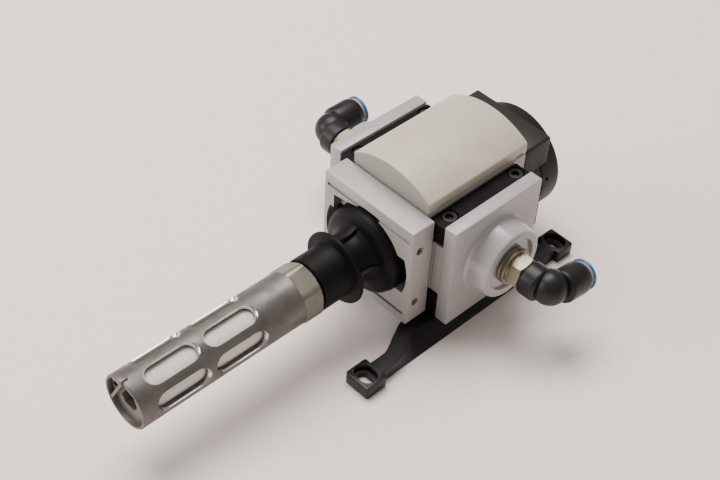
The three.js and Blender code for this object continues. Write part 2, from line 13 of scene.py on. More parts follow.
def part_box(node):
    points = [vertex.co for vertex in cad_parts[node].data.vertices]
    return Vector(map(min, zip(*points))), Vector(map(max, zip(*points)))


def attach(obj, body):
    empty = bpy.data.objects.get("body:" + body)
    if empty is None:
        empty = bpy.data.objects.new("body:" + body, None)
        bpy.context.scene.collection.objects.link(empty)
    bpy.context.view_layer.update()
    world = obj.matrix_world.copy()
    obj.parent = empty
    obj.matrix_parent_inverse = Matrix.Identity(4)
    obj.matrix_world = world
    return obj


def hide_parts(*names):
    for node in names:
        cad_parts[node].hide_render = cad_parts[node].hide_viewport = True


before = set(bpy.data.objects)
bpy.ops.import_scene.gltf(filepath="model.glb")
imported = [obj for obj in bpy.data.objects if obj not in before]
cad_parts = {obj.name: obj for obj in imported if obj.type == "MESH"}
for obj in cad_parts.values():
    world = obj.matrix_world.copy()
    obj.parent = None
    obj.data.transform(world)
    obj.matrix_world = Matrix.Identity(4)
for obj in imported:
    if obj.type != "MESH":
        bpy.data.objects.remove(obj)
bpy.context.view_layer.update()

# ---------------------------------------------------------------- sizes, in millimetres
MM = 0.001
FRONT_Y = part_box("front_block")[0].y / MM
AXIS_Z = (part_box("rotary_knob")[0].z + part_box("rotary_knob")[1].z) / 2 / MM
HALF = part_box("front_block")[1].x / MM
BASE_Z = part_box("front_block")[0].z / MM
TOP_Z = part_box("front_block")[1].z / MM
BLOCK_REAR = 14.55
BODY_REAR = 86
HOUSING_FRONT = 86.3
HOUSING_REAR = 105.4
COVER_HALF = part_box("front_cover")[1].x / MM
COVER_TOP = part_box("front_cover")[1].z / MM
COVER_WALL_TOP = 80.4
KNOB_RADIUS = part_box("rotary_knob")[1].x / MM
KNOB_FRONT = 100.2
KNOB_REAR = 114.3
GRIP_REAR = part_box("rotary_knob")[1].y / MM - FRONT_Y
TIP_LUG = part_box("silencer_body")[0].y / MM - FRONT_Y
SILENCER_TIP = TIP_LUG + 1.1
HEX_START = -52.2
HEX_END = -40.1
SILENCER_RADIUS = 14.25
PORT_Y = 46.9
PLATE_Y = (15.7, 78.1)
PLATE_Z = (10.1, 73.3)
PLATE_X = (36.6, 44.1)
PAD_Z = (27, 59)
BOSS_RIM = 56.4
ELBOW_X = 82
CORNER_RADIUS = 9.4
CORNER_INSET = 3.1
ELBOW_TURN = {"right": -9.4, "left": 0}
ON_AXIS = (0, 0, AXIS_Z)
ON_PORT = (0, PORT_Y, AXIS_Z)
ON_TUBE = (ELBOW_X, 0, AXIS_Z)


# ---------------------------------------------------------------- mesh helpers
def temporary(bm, name="shape"):
    """A scene object, still in millimetres, from a bmesh."""
    bmesh.ops.recalc_face_normals(bm, faces=bm.faces)
    mesh = bpy.data.meshes.new(name)
    bm.to_mesh(mesh)
    bm.free()
    obj = bpy.data.objects.new(name, mesh)
    bpy.context.scene.collection.objects.link(obj)
    return obj


def apply_modifiers(obj):
    graph = bpy.context.evaluated_depsgraph_get()
    mesh = bpy.data.meshes.new_from_object(obj.evaluated_get(graph))
    obj.modifiers.clear()
    obj.data = mesh
    return obj


def combine(obj, operation, tools):
    for tool in tools:
        modifier = obj.modifiers.new("combine", "BOOLEAN")
        modifier.object = tool
        modifier.operation = operation
        modifier.solver = "EXACT"
        apply_modifiers(obj)
        bpy.data.objects.remove(tool)
    return obj


def cut(obj, *tools):
    return combine(obj, "DIFFERENCE", tools)


def fuse(obj, *tools):
    return combine(obj, "UNION", tools)


def soften(obj, width, segments=2, angle=30):
    """Rounds every edge sharper than the angle."""
    modifier = obj.modifiers.new("soften", "BEVEL")
    modifier.width = width
    modifier.segments = segments
    modifier.limit_method = "ANGLE"
    modifier.angle_limit = math.radians(angle)
    return apply_modifiers(obj)


def loft(rings):
    """A skin through rings of points, with its two ends capped."""
    bm = bmesh.new()
    rows = [[bm.verts.new(point) for point in ring] for ring in rings]
    count = len(rows[0])
    for low, high in zip(rows, rows[1:]):
        for k in range(count):
            n = (k + 1) % count
            bm.faces.new((low[k], low[n], high[n], high[k]))
    bm.faces.new(rows[0])
    bm.faces.new(rows[-1])
    return temporary(bm)


def on_circle(axis, centre, radius, angle, along):
    """A point at an angle round an axis: Y from +X to +Z, X from +Y to +Z, Z from +X to +Y."""
    u = radius * math.cos(angle)
    v = radius * math.sin(angle)
    offsets = {"y": (u, along, v), "x": (along, u, v), "z": (u, v, along)}[axis]
    return Vector(centre) + Vector(offsets)


def turned(axis, profile, centre=ON_AXIS, segments=72, limit=None, phase=0.0):
    """A turned solid. The profile lists (radius, distance along the axis); it closes on itself
    unless it starts and ends on the axis. limit(angle, along) may hold the radius in."""
    bm = bmesh.new()
    on_axis = profile[0][0] == 0
    rows = []
    for radius, along in profile:
        if radius == 0:
            rows.append([bm.verts.new(on_circle(axis, centre, 0, 0, along))])
            continue
        row = []
        for k in range(segments):
            angle = phase + 2 * math.pi * k / segments
            held = min(radius, limit(angle, along)) if limit else radius
            row.append(bm.verts.new(on_circle(axis, centre, held, angle, along)))
        rows.append(row)
    pairs = list(zip(rows, rows[1:]))
    if not on_axis:
        pairs.append((rows[-1], rows[0]))
    for low, high in pairs:
        for k in range(segments):
            n = (k + 1) % segments
            corners = [low[k % len(low)], low[n % len(low)],
                       high[n % len(high)], high[k % len(high)]]
            unique = list(dict.fromkeys(corners))
            if len(unique) > 2:
                bm.faces.new(unique)
    return temporary(bm)


def rod(axis, radius, start, end, centre=ON_AXIS, segments=64, phase=0.0):
    return turned(axis, [(0, start), (radius, start), (radius, end), (0, end)], centre, segments,
                  phase=phase)


def flats(apothem, first_vertex, sides=6):
    """A limit for turned() that gives a shape flats, with a vertex at the first angle."""
    step = 2 * math.pi / sides

    def limit(angle, along):
        offset = (angle - first_vertex) % step - step / 2
        return apothem / math.cos(offset)
    return limit


def prism(axis, outline, start, end):
    """A solid with a flat outline: (x, z) for axis "y", (y, z) for "x", (x, y) for "z"."""
    def at(u, v, along):
        return {"y": (u, along, v), "x": (along, u, v), "z": (u, v, along)}[axis]
    return loft([[at(u, v, start) for u, v in outline], [at(u, v, end) for u, v in outline]])


def box(x, y, z):
    return prism("z", [(x[0], y[0]), (x[1], y[0]), (x[1], y[1]), (x[0], y[1])], z[0], z[1])


def arc(cx, cy, radius, start, end, steps):
    angles = [math.radians(start + (end - start) * i / steps) for i in range(steps + 1)]
    return [(cx + radius * math.cos(a), cy + radius * math.sin(a)) for a in angles]


def rounded_rectangle(u, v, radius, steps=4):
    return (arc(u[1] - radius, v[0] + radius, radius, -90, 0, steps)
            + arc(u[1] - radius, v[1] - radius, radius, 0, 90, steps)
            + arc(u[0] + radius, v[1] - radius, radius, 90, 180, steps)
            + arc(u[0] + radius, v[0] + radius, radius, 180, 270, steps))


def stadium(cu, cv, length, radius, steps=10):
    h = length / 2 - radius
    return (arc(cu + h, cv, radius, -90, 90, steps) + arc(cu - h, cv, radius, 90, 270, steps))


def rotated(obj, degrees, axis="Y", centre=ON_AXIS):
    """Turns a shape about an axis; about Y a positive angle goes from +X towards +Z."""
    sign = -1 if axis == "Y" else 1
    turn = Matrix.Rotation(math.radians(sign * degrees), 4, axis)
    obj.data.transform(Matrix.Translation(centre) @ turn @ Matrix.Translation(-Vector(centre)))
    return obj


def mirrored(obj):
    obj.data.transform(Matrix.Scale(-1, 4, (1, 0, 0)))
    obj.data.flip_normals()
    return obj


def finished(obj, name, body, material, nodes=(), angle=32, side=1):
    """Puts a finished shape into the frame as a piece that rides on a body."""
    if side < 0:
        mirrored(obj)
    obj.data.transform(Matrix.Scale(MM, 4) @ Matrix.Translation((0, FRONT_Y, 0)))
    obj.name = name
    obj.data.name = name
    materials = material if isinstance(material, (list, tuple)) else [material]
    obj.data.materials.clear()
    for entry in materials:
        obj.data.materials.append(entry)
    obj.data.shade_smooth()
    obj.data.set_sharp_from_angle(angle=math.radians(angle))
    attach(obj, body)
    if nodes:
        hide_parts(*nodes)
    return obj


# ---------------------------------------------------------------- materials
def base_material(name, color, roughness, metallic=0.0, **extra):
    material = bpy.data.materials.new(name)
    material.use_nodes = True
    shader = material.node_tree.nodes["Principled BSDF"]
    shader.inputs["Base Color"].default_value = (*color, 1)
    shader.inputs["Roughness"].default_value = roughness
    shader.inputs["Metallic"].default_value = metallic
    for key, value in extra.items():
        shader.inputs[key.replace("_", " ")].default_value = value
    return material


def noise(material, scale, detail=3.0, stretch=(1, 1, 1)):
    """Noise in object space, in the frame's metres, stretched along the axes."""
    nodes = material.node_tree.nodes
    links = material.node_tree.links
    coordinates = nodes.new("ShaderNodeTexCoord")
    mapping = nodes.new("ShaderNodeMapping")
    mapping.inputs["Scale"].default_value = stretch
    texture = nodes.new("ShaderNodeTexNoise")
    texture.inputs["Scale"].default_value = scale
    texture.inputs["Detail"].default_value = detail
    links.new(coordinates.outputs["Object"], mapping.inputs["Vector"])
    links.new(mapping.outputs["Vector"], texture.inputs["Vector"])
    return texture.outputs["Fac"]


def ramp(material, value, stops):
    node = material.node_tree.nodes.new("ShaderNodeValToRGB")
    elements = node.color_ramp.elements
    while len(elements) < len(stops):
        elements.new(0.5)
    for element, (position, color) in zip(elements, stops):
        element.position = position
        element.color = (*color, 1)
    material.node_tree.links.new(value, node.inputs["Fac"])
    return node.outputs["Color"]


def tint(color, factor):
    return tuple(min(1, c * factor) for c in color)


def vary_colour(material, color, spread, scale, detail=4.0, stretch=(1, 1, 1)):
    value = noise(material, scale, detail, stretch)
    stops = [(0.3, tint(color, 1 - spread)), (0.7, tint(color, 1 + spread))]
    shader = material.node_tree.nodes["Principled BSDF"]
    material.node_tree.links.new(ramp(material, value, stops), shader.inputs["Base Color"])


def vary_roughness(material, low, high, scale, detail=4.0, stretch=(1, 1, 1)):
    value = noise(material, scale, detail, stretch)
    shade = ramp(material, value, [(0.3, (low,) * 3), (0.7, (high,) * 3)])
    shader = material.node_tree.nodes["Principled BSDF"]
    material.node_tree.links.new(shade, shader.inputs["Roughness"])


def roughen(material, scale, strength, distance, detail=3.0, stretch=(1, 1, 1)):
    """A fine bump, its distance in millimetres."""
    value = noise(material, scale, detail, stretch)
    bump = material.node_tree.nodes.new("ShaderNodeBump")
    bump.inputs["Strength"].default_value = strength
    bump.inputs["Distance"].default_value = distance * MM
    shader = material.node_tree.nodes["Principled BSDF"]
    previous = shader.inputs["Normal"].links
    if previous:
        material.node_tree.links.new(previous[0].from_socket, bump.inputs["Normal"])
    material.node_tree.links.new(value, bump.inputs["Height"])
    material.node_tree.links.new(bump.outputs["Normal"], shader.inputs["Normal"])


def painted_aluminium(name, color, roughness):
    material = base_material(name, color, roughness, 0.1)
    vary_colour(material, color, 0.035, 60)
    vary_roughness(material, roughness - 0.06, roughness + 0.07, 45)
    roughen(material, 1800, 0.18, 0.05)
    return material


def moulded_plastic(name, color, roughness, grain=0.15, shine=0.5):
    material = base_material(name, color, roughness, Specular_IOR_Level=shine)
    vary_colour(material, color, 0.06, 70)
    vary_roughness(material, roughness - 0.05, roughness + 0.08, 90)
    roughen(material, 2600, grain, 0.04)
    return material


def cast_metal(name, color):
    material = base_material(name, color, 0.46, 0.6)
    vary_colour(material, color, 0.2, 95, 6)
    vary_roughness(material, 0.38, 0.56, 140)
    roughen(material, 420, 0.2, 0.12)
    roughen(material, 2400, 0.25, 0.05)
    return material


def turned_metal(name, color, roughness, stretch=(1, 1, 1), metallic=0.95):
    material = base_material(name, color, roughness, metallic)
    vary_colour(material, color, 0.07, 120)
    vary_roughness(material, roughness - 0.05, roughness + 0.08, 160)
    roughen(material, 900, 0.14, 0.04, stretch=stretch)
    return material


MATERIALS = {
    "housing": painted_aluminium("housing grey", (0.405, 0.38, 0.372), 0.45),
    "plate": painted_aluminium("plate grey", (0.385, 0.368, 0.366), 0.36),
    "boss": painted_aluminium("boss grey", (0.42, 0.41, 0.405), 0.2),
    "cover": moulded_plastic("cover beige", (0.53, 0.475, 0.385), 0.42),
    # a darker, greyer copy of the cover beige: painted shade for the cover's front-facing faces
    "cover_front_shade": moulded_plastic("cover front painted shade", (0.33, 0.32, 0.265), 0.5),
    "black": moulded_plastic("black plastic", (0.004, 0.004, 0.0042), 0.5, shine=0.13),
    "knob": moulded_plastic("knob black", (0.011, 0.0095, 0.008), 0.5, shine=0.2),
    "housing_black": moulded_plastic("housing black", (0.017, 0.016, 0.014), 0.5, shine=0.3),
    "bar": moulded_plastic("black bar", (0.006, 0.006, 0.005), 0.6, shine=0.1),
    "bracket": moulded_plastic("black bracket", (0.006, 0.006, 0.006), 0.38, shine=0.3),
    "elbow": moulded_plastic("elbow black", (0.010, 0.0095, 0.0098), 0.38, shine=0.3),
    "cast": cast_metal("cast aluminium", (0.14, 0.128, 0.12)),
    "rim": turned_metal("polished rim", (0.66, 0.62, 0.56), 0.2),
    "milled": turned_metal("milled aluminium", (0.20, 0.182, 0.15), 0.4, metallic=0.65),
    "nickel": turned_metal("nickel", (0.25, 0.21, 0.15), 0.36, (3, 0.2, 0.2), 0.75),
    "steel": turned_metal("steel", (0.5, 0.5, 0.51), 0.32),
    "black_steel": turned_metal("black steel", (0.016, 0.015, 0.014), 0.45, metallic=0.4),
    "pin": turned_metal("dark pin", (0.02, 0.007, 0.005), 0.6, metallic=0.0),
    "brass": turned_metal("brass", (0.62, 0.45, 0.18), 0.3),
    "rubber": moulded_plastic("rubber", (0.012, 0.012, 0.012), 0.7),
    "blue": moulded_plastic("blue plastic", (0.012, 0.16, 0.45), 0.3),
    "pale_ring": moulded_plastic("pale ring", (0.42, 0.36, 0.28), 0.45),
}


def porous_plastic():
    color = (0.80, 0.78, 0.74)
    material = base_material("porous plastic", color, 0.9)
    vary_colour(material, color, 0.04, 500)
    roughen(material, 1500, 0.5, 0.12, 6)
    return material


MATERIALS["porous"] = porous_plastic()


# ---------------------------------------------------------------- silencer
SLOT_ROWS = [(-138.5, -111), (-105, -77)]
SLOT_HALF_WIDTH = 4.6
FIRST_SLOT_ANGLE = 70
SLOTS_PER_ROW = 6
SLOT_WALL = (12.3, 14.15)         # radii between which a face belongs to a slot's rim
SLOTTED_LENGTH = (SILENCER_TIP + 8, HEX_START - 8)


def slot_cutter(row):
    """A stadium that runs straight through the wall and flares at the outside."""
    y0, y1 = row

    def ring(grow, radius):
        outline = stadium((y0 + y1) / 2, 0, y1 - y0 + 2 * grow, SLOT_HALF_WIDTH + grow)
        return [(radius, u, v) for u, v in outline]
    return loft([ring(0, 8), ring(0, 12.2), ring(0.25, 12.9), ring(1.1, 13.9), ring(2.1, 15.2)])


def silencer_body():
    profile = [(0, SILENCER_TIP + 2.6), (12.3, SILENCER_TIP + 2.6), (12.9, SILENCER_TIP + 0.2),
               (13.2, SILENCER_TIP), (13.9, SILENCER_TIP), (14.3, SILENCER_TIP + 0.5),
               (SILENCER_RADIUS, SILENCER_TIP + 1.4), (SILENCER_RADIUS, -100),
               (14.3, HEX_START - 6),
               (14.35, HEX_START - 0.5), (14.5, HEX_START), (14.5, HEX_START + 0.1)]
    flat_profile = [(14.6, HEX_START + 0.1), (15.0, HEX_START + 0.9), (15.0, HEX_END - 1.5)]
    chamfer = [(15.0 - 2.1 * t, HEX_END - 1.5 + 1.5 * t) for t in (0.2, 0.4, 0.6, 0.8, 1.0)]
    rear = [(12.2, HEX_END), (12.2, HEX_END + 0.9), (8.9, HEX_END + 0.9), (8.9, -26), (0, -26)]
    hexagon = flats(13.5, math.radians(36))

    def limit(angle, along):
        return hexagon(angle, along) if along > HEX_START + 0.05 else 20
    body = turned("y", profile + flat_profile + chamfer + rear, segments=120, limit=limit,
                  phase=math.radians(36))
    cut(body, rod("y", 11.1, SILENCER_TIP + 6.8, HEX_START - 2, segments=64))
    for row in SLOT_ROWS:
        for i in range(SLOTS_PER_ROW):
            slot = slot_cutter(row)
            slot.data.transform(Matrix.Translation(ON_AXIS))
            cut(body, rotated(slot, FIRST_SLOT_ANGLE + 360 / SLOTS_PER_ROW * i))
    return body


def silencer_tip(body):
    """The web, the pocket behind it, the hexagon socket and the lug of the cast end."""
    web = box((-11.6, 11.6), (SILENCER_TIP + 0.3, SILENCER_TIP + 3), (AXIS_Z + 5.9, AXIS_Z + 7.4))
    fuse(body, rotated(web, 61))
    corners = (50, 110, 190, 230, 300, 350)
    levels = ((6.4, SILENCER_TIP + 1), (5.6, SILENCER_TIP + 3.4), (5.4, SILENCER_TIP + 6.4))
    cut(body, loft([[on_circle("y", ON_AXIS, r, math.radians(a), y) for a in corners]
                    for r, y in levels]))
    pocket = rod("y", 1.6, SILENCER_TIP + 1, SILENCER_TIP + 5, (-9.6, 0, AXIS_Z + 2.2), 24)
    cut(body, pocket)
    lug = box((12.4, 15.0), (TIP_LUG, SILENCER_TIP + 3.2), (AXIS_Z - 3.5, AXIS_Z + 3.5))
    soften(lug, 0.5, 2)
    fuse(body, rotated(lug, 102))
    return body


def build_silencer():
    body = silencer_tip(silencer_body())
    finished(body, "silencer_shell", "valve",
             [MATERIALS["cast"], MATERIALS["milled"], MATERIALS["rim"]], ["silencer_body"])
    milled, rim = 1, 2
    for face in body.data.polygons:
        x, y, z = face.center / MM
        y -= FRONT_Y
        radius = math.hypot(x, z - AXIS_Z)
        if y > HEX_START + 0.02:
            face.material_index = milled
        elif SLOT_WALL[0] < radius < SLOT_WALL[1] and SLOTTED_LENGTH[0] < y < SLOTTED_LENGTH[1]:
            face.material_index = rim
    front, rear = SILENCER_TIP + 7.4, HEX_START - 2.4
    insert = turned("y", [(7, front), (10.6, front), (10.8, front + 0.4), (10.8, rear - 0.4),
                          (10.6, rear), (7, rear)])
    finished(insert, "silencer_element", "valve", MATERIALS["porous"],
             ["silencer_insert"])


# ---------------------------------------------------------------- exhaust adapter
def build_adapter():
    flange = [(23.9, 4), (23.9, -1.8), (23.6, -3.2), (22.8, -4.5), (21.6, -5.5), (20.0, -6.1),
              (18.0, -6.6), (16.4, -7.3), (15.3, -8.6), (14.6, -10.4), (14.3, -12.6),
              (14.25, -18.4)]
    collar = [(14.7, -19.3), (15.6, -19.7), (19.2, -19.8), (19.8, -20.2), (19.9, -20.8),
              (19.8, -21.3), (19.2, -21.8), (15.6, -22.0), (14.8, -22.3), (14.5, -23.0)]
    tube = [(14.5, -39.0), (14.1, -39.6), (9.4, -39.6), (9.4, 13.2), (12.6, 13.2), (12.6, 9),
            (21, 9), (21, 4)]
    adapter = turned("y", flange + collar + tube, segments=96)
    for i in range(4):
        outline = [(13.6, -19.6), (17.6, -19.6), (17.0, -17.0), (16.6, -11.5), (18.4, -6.2),
                   (13.6, -6.2)]
        rib = prism("z", outline, AXIS_Z - 2.4, AXIS_Z + 2.4)
        soften(rib, 0.5, 2)
        fuse(adapter, rotated(rib, 98 + 90 * i))
    for turn in (0, 180):
        outline = arc(0, AXIS_Z, 28.2, -19.5, 19.5, 16) + arc(0, AXIS_Z, 18, 19.5, -19.5, 8)
        lug = prism("y", outline, 5.8, 9)
        soften(lug, 0.4, 2)
        fuse(adapter, rotated(lug, turn))
    finished(adapter, "adapter_moulding", "valve", MATERIALS["black"],
             ["exhaust_adapter"])


# ---------------------------------------------------------------- housing
OPENING_RADIUS = 24.4
POCKET_RADIUS = 28.8


def build_front_block():
    block = prism("y", rounded_rectangle((-HALF, HALF), (BASE_Z, TOP_Z), 0.8), 0, BLOCK_REAR)
    soften(block, 0.45, 2)
    cut(block, rod("y", OPENING_RADIUS, -1, BLOCK_REAR + 1, segments=96))
    reach = math.degrees(math.asin(11.3 / POCKET_RADIUS))
    outline = (arc(0, AXIS_Z, POCKET_RADIUS, -reach, reach, 16)
               + arc(0, AXIS_Z, POCKET_RADIUS, 180 - reach, 180 + reach, 16))
    cut(block, prism("y", outline, -1, BLOCK_REAR + 1))
    corner = [(-24, AXIS_Z + 3), (-24, 62.1), (-16.8, 63.4), (-8.3, 65.4), (-4, 65.6),
              (-4, AXIS_Z + 3)]
    cut(block, prism("y", corner, -1, 5))
    for z in ((65.6, 67.9), (16.2, 18.2)):
        cut(block, box((-28.8, 28.4), (-1, 1.1), z))
    for side in (-1, 1):
        for z in (24.2, 59.6):
            x = (HALF - 1.7, HALF + 1) if side > 0 else (-HALF - 1, -HALF + 1.7)
            cut(block, rod("x", 2.35, *x, (0, 5.7, z), 32))
    finished(block, "front_housing", "valve", MATERIALS["housing"],
             ["front_block"])


def cover_outline(half, z0, wall_top, top, steps=36):
    crown = top - wall_top
    radius = (half * half + crown * crown) / (2 * crown)
    spread = math.degrees(math.asin(half / radius))
    return [(-half, z0), (half, z0)] + arc(0, top - radius, radius, 90 - spread, 90 + spread, steps)


def build_cover():
    outline = cover_outline(COVER_HALF, TOP_Z + 0.3, COVER_WALL_TOP, COVER_TOP)
    cover = prism("y", outline, BLOCK_REAR + 0.3, BODY_REAR)
    soften(cover, 0.55, 3, 25)
    for y in (23.5, 78.3):
        for side in (-1, 1):
            x = (side * COVER_HALF - 0.6, side * COVER_HALF + 0.6)
            cut(cover, box(x, (y, y + 4.6), (74.5, 75.7)))
    finished(cover, "cover_shell", "valve",
             [MATERIALS["cover"], MATERIALS["cover_front_shade"]], ["front_cover"])
    # faces that look to the front take the darker copy of the beige: painted shade on one moulding
    for face in cover.data.polygons:
        if face.normal.y < -0.7:
            face.material_index = 1


def build_knob_housing():
    outline = rounded_rectangle((-COVER_HALF, COVER_HALF), (BASE_Z, TOP_Z), 1.6)
    housing = prism("y", outline, HOUSING_FRONT, HOUSING_REAR)
    soften(housing, 0.4, 2)
    fuse(housing, turned("y", [(0, 90), (KNOB_RADIUS - 0.5, 90), (KNOB_RADIUS, 90.5),
                               (KNOB_RADIUS, 99.5), (KNOB_RADIUS - 0.3, 99.8), (0, 99.8)],
                         segments=128))
    cut(housing, rod("y", KNOB_RADIUS + 0.4, 99.8, HOUSING_REAR + 1, segments=128))
    cut(housing, rod("y", 4.4, 80, 101, segments=32))
    finished(housing, "knob_base", "valve", MATERIALS["housing_black"],
             ["knob_housing"])


def build_knob():
    rim = KNOB_RADIUS
    knob = turned("y", [(0, KNOB_FRONT), (rim - 0.4, KNOB_FRONT), (rim, KNOB_FRONT + 0.4),
                        (rim, KNOB_REAR - 1.6), (rim - 0.3, KNOB_REAR - 0.7),
                        (rim - 0.9, KNOB_REAR - 0.2), (rim - 1.7, KNOB_REAR),
                        (25.9, KNOB_REAR), (25.3, KNOB_REAR - 0.6), (24.8, KNOB_REAR - 4),
                        (0, KNOB_REAR - 4)], segments=144)
    outline = rounded_rectangle((-24.6, 24.6), (AXIS_Z - 6, AXIS_Z + 6), 3, 6)
    grip = prism("y", outline, KNOB_REAR - 4.5, GRIP_REAR)
    soften(grip, 1.2, 3, 60)
    fuse(knob, grip)
    cut(knob, rod("y", 4.7, GRIP_REAR - 3.9, GRIP_REAR + 1, segments=40))
    for angle in (10, 170):
        hole = rod("x", 1.1, 26, 40, (0, 104.2, 0), 24)
        hole.data.transform(Matrix.Translation(ON_AXIS))
        cut(knob, rotated(hole, angle))
    finished(knob, "knob_moulding", "knob", MATERIALS["knob"], ["rotary_knob"])
    screw = turned("y", [(0, GRIP_REAR - 3.7), (4.2, GRIP_REAR - 3.7), (4.2, GRIP_REAR - 1.1),
                         (3.9, GRIP_REAR - 0.8), (0, GRIP_REAR - 0.8)], segments=48)
    cut(screw, rod("y", 2.2, GRIP_REAR - 2.6, GRIP_REAR, segments=6))
    finished(screw, "knob_screw_head", "knob", MATERIALS["steel"], ["knob_screw"])


# ---------------------------------------------------------------- side plates and bars
def build_plate(side, name):
    plate = prism("x", rounded_rectangle(PLATE_Y, PLATE_Z, 0.9), *PLATE_X)
    soften(plate, 0.45, 2)
    pad = box((HALF + 0.4, PLATE_X[0] + 1), (PLATE_Y[0] + 0.3, PLATE_Y[1] - 0.3), PAD_Z)
    soften(pad, 0.3, 2)
    boss = turned("x", [(0, 40), (22.4, 40), (22.4, PLATE_X[1] + 0.05), (21.7, 44.6),
                        (21.2, 45.4), (20.9, 46.6), (19.8, BOSS_RIM - 1.2),
                        (19.5, BOSS_RIM - 0.5), (19.0, BOSS_RIM - 0.1), (18.5, BOSS_RIM),
                        (15.7, BOSS_RIM), (15.2, BOSS_RIM - 0.3), (14.9, BOSS_RIM - 1.1),
                        (14.6, 54.6), (0, 54.6)], ON_PORT, 112)
    fuse(plate, pad, boss)
    cut(plate, rod("x", 8.7, 45, 60, ON_PORT, 64), rod("x", 6.5, 30, 60, ON_PORT, 48))
    finished(plate, f"side_plate_{name}", "valve",
             [MATERIALS["plate"], MATERIALS["boss"]], [f"connecting_plate_{name}"], 30, side)
    for face in plate.data.polygons:
        if abs(face.center.x) / MM > PLATE_X[1] + 0.05:
            face.material_index = 1


BAR_X = (26.3, 36.3)
BARS = {"upper": (60.5, 71.8), "lower": (12.5, 24.6)}
SCREW_X = 31.2
SCREW_YS = {"front": 24.6, "rear": 72.6}


def build_bars(side, name):
    for level, z in BARS.items():
        bar = prism("y", rounded_rectangle(BAR_X, z, 0.6), *PLATE_Y)
        soften(bar, 0.3, 2)
        if level == "upper":
            for y in SCREW_YS.values():
                hole = turned("z", [(0, z[1] - 4), (4.4, z[1] - 4), (4.4, z[1] - 0.4),
                                    (4.9, z[1] + 0.3), (4.9, z[1] + 1), (0, z[1] + 1)],
                              (SCREW_X, y, 0), 48)
                cut(bar, hole)
        finished(bar, f"bar_{level}_{name}", "valve", MATERIALS["bar"],
                 [f"clamp_bar_{level}_{name}"], 32, side)


def build_screws(side, name):
    top = BARS["upper"][1] - 0.4
    for where, y in SCREW_YS.items():
        centre = (SCREW_X, y, 0)
        head = turned("z", [(0, top - 3.3), (4.05, top - 3.3), (4.1, top - 0.5),
                            (3.7, top - 0.05), (3.5, top), (2.9, top), (2.6, top - 0.3),
                            (0, top - 0.3)], centre, 48)
        cut(head, rod("z", 2.35, top - 2.2, top + 1, centre, 6))
        finished(head, f"cap_screw_{where}_{name}", "valve", MATERIALS["black_steel"],
                 [f"bar_screw_{where}_{name}"], 32, side)


# ---------------------------------------------------------------- brackets
FOOT_X = (31.5, 47.2)
FOOT_HEIGHT = 7.6
FEET = {"front": (-41.6, -28.1), "rear": (101.5, 113.4)}
# Sections of the arm, inwards from a foot: distance, inner x, outer x of the top, top z.
ARM = [(0, 35.1, 44.0, 7.6), (5, 35.3, 44.0, 7.6), (10.6, 35.2, 43.8, 7.6), (13, 34.6, 43.2, 7.7),
       (15.2, 33.6, 42.3, 7.8), (17.4, 32.5, 41.4, 8.0), (19.6, 31.3, 40.5, 8.2),
       (22, 30.2, 39.3, 8.5), (24.4, 29.2, 38.2, 8.8), (26.4, 28.1, 37.2, 9.1),
       (28.4, 27.3, 36.4, 9.3), (30.6, 26.7, 36.0, 9.5), (33, 26.4, 35.8, 9.6)]
ARM_REAR_SCALE = 0.72
BRACKET_INSET = {"right": 0, "left": 6.5}


def bracket_arm():
    stations = [(FEET["front"][1] - 1 + d, xi, xo, z) for d, xi, xo, z in ARM]
    stations += [(FEET["rear"][0] + 1 - d * ARM_REAR_SCALE, xi, xo, z)
                 for d, xi, xo, z in reversed(ARM)]
    rings = []
    for y, inner, outer, top in stations:
        rings.append([(inner, y, 0), (44, y, 0), (44, y, 0.5), (outer + 0.3, y, top - 0.25),
                      (outer - 0.4, y, top), (inner + 0.5, y, top), (inner, y, top - 0.5)])
    return loft(rings)


def build_bracket(side, name):
    bracket = bracket_arm()
    cx = (FOOT_X[0] + FOOT_X[1]) / 2 - 0.4
    for y0, y1 in FEET.values():
        foot = prism("z", rounded_rectangle(FOOT_X, (y0, y1), 1.2), 0, FOOT_HEIGHT)
        soften(foot, 0.5, 2)
        fuse(bracket, foot)
        cy = (y0 + y1) / 2
        cut(bracket, prism("z", stadium(cx, cy, 9.6, 2.9), -1, 9))
        cut(bracket, loft([[(u, v, z) for u, v in stadium(cx, cy, 12.4 + 2 * grow, 4.6 + grow)]
                           for z, grow in ((FOOT_HEIGHT - 3.4, 0), (FOOT_HEIGHT - 0.5, 0),
                                           (FOOT_HEIGHT + 0.4, 0.7), (FOOT_HEIGHT + 1, 0.7))]))
    bracket.data.transform(Matrix.Translation((-BRACKET_INSET[name], 0, 0)))
    rail = box((27.4, 36.2), (16.2, 77.6), (2, 12.2))
    soften(rail, 0.4, 2)
    fuse(bracket, rail)
    finished(bracket, f"bracket_{name}", "valve", MATERIALS["bracket"],
             [f"mounting_bracket_{name}"], 32, side)


# ---------------------------------------------------------------- fittings
def build_fitting(side, name):
    hexagon = flats(8.25, math.radians(10))

    def limit(angle, along):
        return hexagon(angle, along) if along > 60.0 else 20
    profile = [(0, 48), (8.1, 48), (8.1, 54.9), (9.9, 54.9), (10.2, 55.2), (10.2, 56.2),
               (9.9, 56.5), (9.9, 56.9), (10.2, 57.2), (10.2, 58.9), (9.9, 59.3), (8.6, 59.4),
               (8.3, 59.7), (8.3, 60.0), (8.4, 60.02), (9.0, 60.3), (9.55, 60.9), (9.55, 65.9),
               (9.2, 66.3), (8.8, 66.6), (8.4, 66.8), (0, 66.8)]
    fitting = turned("x", profile, ON_PORT, 96, limit, math.radians(10))
    finished(fitting, f"fitting_{name}", "valve", MATERIALS["nickel"],
             [f"fitting_body_{name}"], 25, side)


